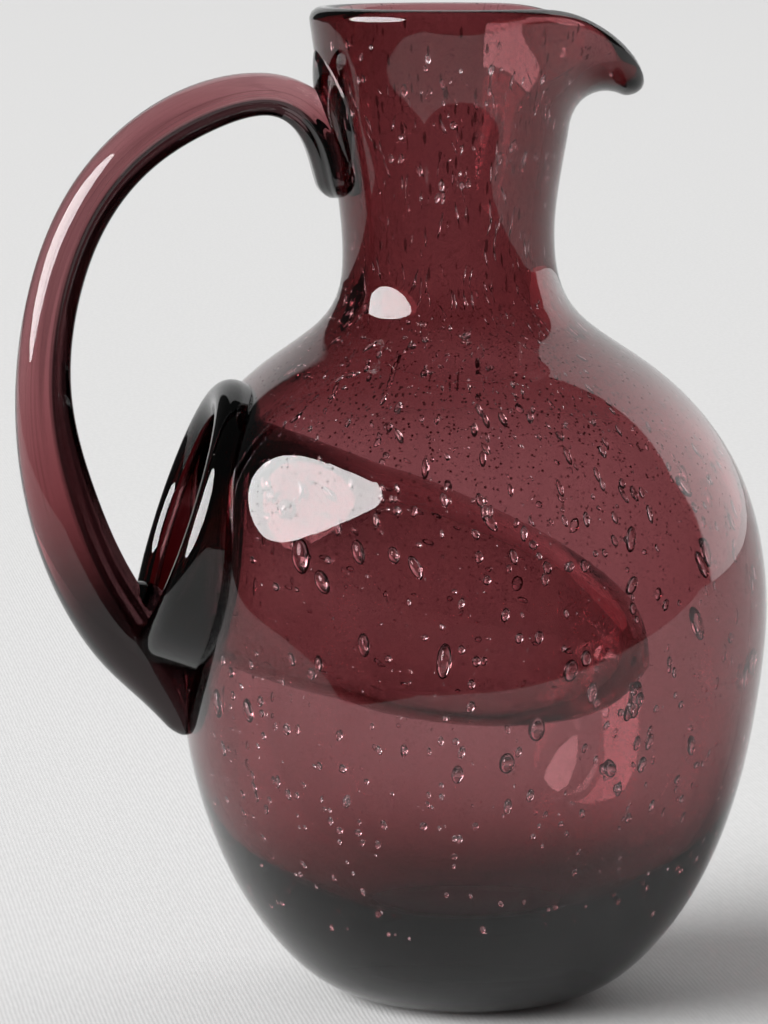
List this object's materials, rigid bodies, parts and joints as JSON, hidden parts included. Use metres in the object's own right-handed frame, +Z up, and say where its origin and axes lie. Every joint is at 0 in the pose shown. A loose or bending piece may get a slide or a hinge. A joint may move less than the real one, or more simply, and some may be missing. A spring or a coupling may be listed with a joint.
{
  "type": "glass pitcher with ice pocket",
  "caption": "Hand-blown seeded amethyst glass pitcher with a bent pouring spout, a drawn loop handle and a side ice pocket that hangs inside the belly.",
  "frame": {"origin": "centre of the flat ground foot, on the surface the pitcher stands on", "axes": "+Z up along the body, +X towards the pouring spout, -X towards the handle and the mouth of the ice pocket, +Y completes a right-handed frame"},
  "size_m": [0.1923, 0.1488, 0.2538],
  "materials": {
    "amethyst_glass": "fire-polished seeded blown glass, amethyst, full of small air bubbles",
    "pocket_glass": "fire-polished seeded blown glass, amethyst",
    "collar_glass": "thick fire-polished glass, nearly black in the thickness",
    "handle_glass": "solid drawn glass, amethyst, few bubbles"
  },
  "bodies": {
    "root": {"body": "amethyst_glass", "ice_pocket": "pocket_glass", "pocket_collar": "collar_glass", "handle": "handle_glass"}
  },
  "joints": []
}
